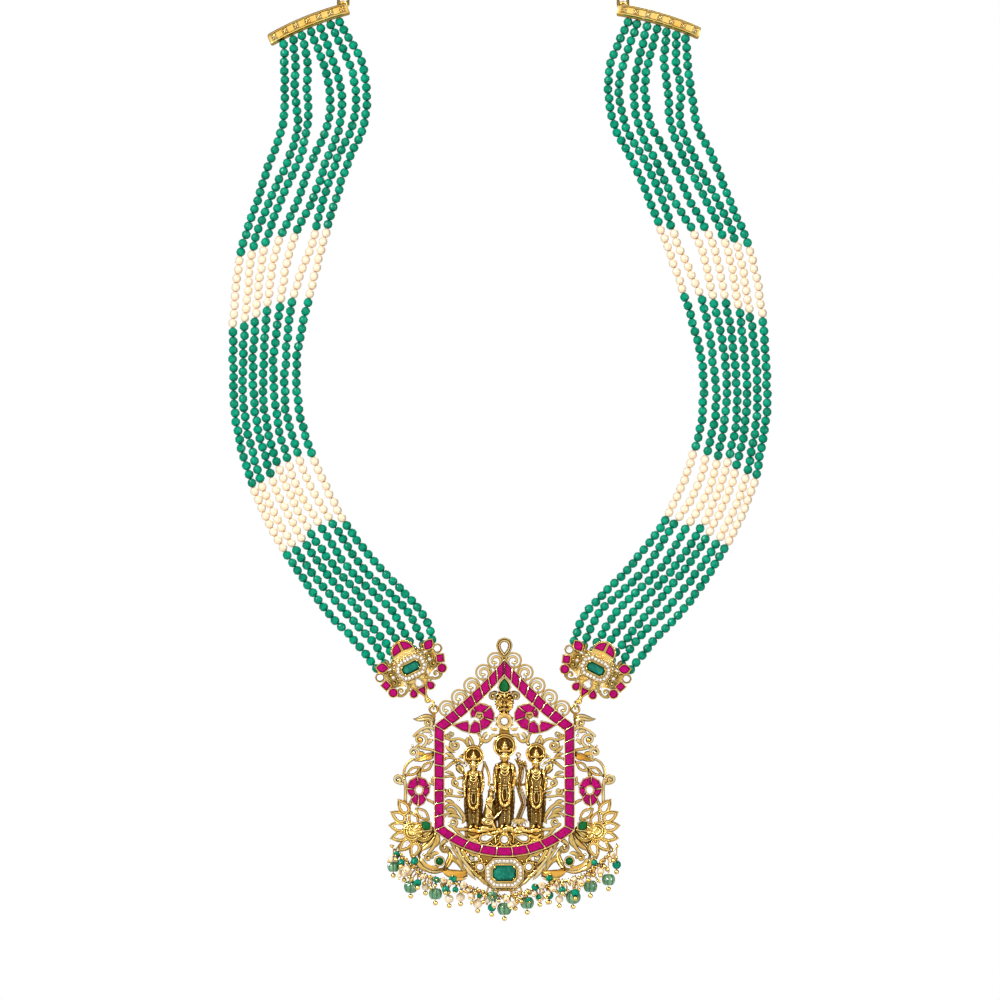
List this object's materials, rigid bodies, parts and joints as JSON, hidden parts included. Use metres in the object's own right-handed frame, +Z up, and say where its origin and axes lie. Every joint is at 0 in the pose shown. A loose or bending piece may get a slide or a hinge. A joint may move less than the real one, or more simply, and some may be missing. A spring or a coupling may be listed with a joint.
{
  "type": "temple necklace",
  "caption": "Long necklace of green and pearl bead strands on two end bars, with jewelled joiners and a pierced gold gable pendant with figures, rubies and bead drops.",
  "frame": {"origin": "inner side of the back chain's hook, where it lies on the nape of the neck", "axes": "+Z up, -Y towards the viewer in front, +X to the viewer's right"},
  "size_m": [0.1808, 0.1144, 0.3547],
  "materials": {
    "green_beads": "polished, faceted",
    "pearl": "lustrous cream",
    "jade": "polished, fluted",
    "bright_gold": "polished gold plating",
    "antique_gold": "cast gold plating with dark recesses",
    "ruby": "cut and polished",
    "emerald": "cut and polished",
    "white_stone": "cut and polished"
  },
  "bodies": {
    "root": {"strand_left_1": "green_beads", "strand_left_2": "green_beads", "strand_left_3": "green_beads", "strand_left_4": "green_beads", "strand_left_5": "green_beads", "strand_left_6": "green_beads", "strand_left_7": "green_beads", "strand_right_1": "green_beads", "strand_right_2": "green_beads", "strand_right_3": "green_beads", "strand_right_4": "green_beads", "strand_right_5": "green_beads", "strand_right_6": "green_beads", "strand_right_7": "green_beads", "end_bar_left": "bright_gold", "end_bar_right": "bright_gold", "back_chain_left": "bright_gold", "back_chain_right": "bright_gold", "clasp_hook": "bright_gold", "joiner_left": "antique_gold", "joiner_right": "antique_gold", "joiner_emerald_left": "emerald", "joiner_emerald_right": "emerald", "joiner_rubies_left": "ruby", "joiner_rubies_right": "ruby", "joiner_diamonds_left": "white_stone", "joiner_diamonds_right": "white_stone"},
    "pendant": {"pendant_frame": "antique_gold", "ruby_channel": "bright_gold", "setting_left": "bright_gold", "setting_right": "bright_gold", "setting_middle": "bright_gold", "figure_center": "antique_gold", "figure_left": "antique_gold", "figure_right": "antique_gold", "figure_kneeling": "antique_gold", "frame_rubies": "ruby", "peacock_rubies_left": "ruby", "peacock_rubies_right": "ruby", "sun_stones_left": "white_stone", "sun_stones_right": "white_stone", "petal_stones_left": "white_stone", "petal_stones_right": "white_stone", "petal_emerald_left": "emerald", "petal_emerald_right": "emerald", "scroll_emerald_left": "emerald", "scroll_emerald_right": "emerald", "finial_stone": "white_stone", "roof_emerald": "emerald", "daisy_stone": "white_stone", "throne_stones": "white_stone", "flank_stones": "white_stone", "centre_emerald": "emerald", "drop_pins": "bright_gold", "drop_pearls": "pearl", "drop_greens": "green_beads", "drop_melons": "jade"}
  },
  "joints": [
    {"name": "pendant_swing", "type": "hinge", "parent": "root", "child": "pendant", "pos_m": [0, -0.1072, -0.2801], "axis": [1, 0, 0], "range_deg": [-75, 30]}
  ]
}
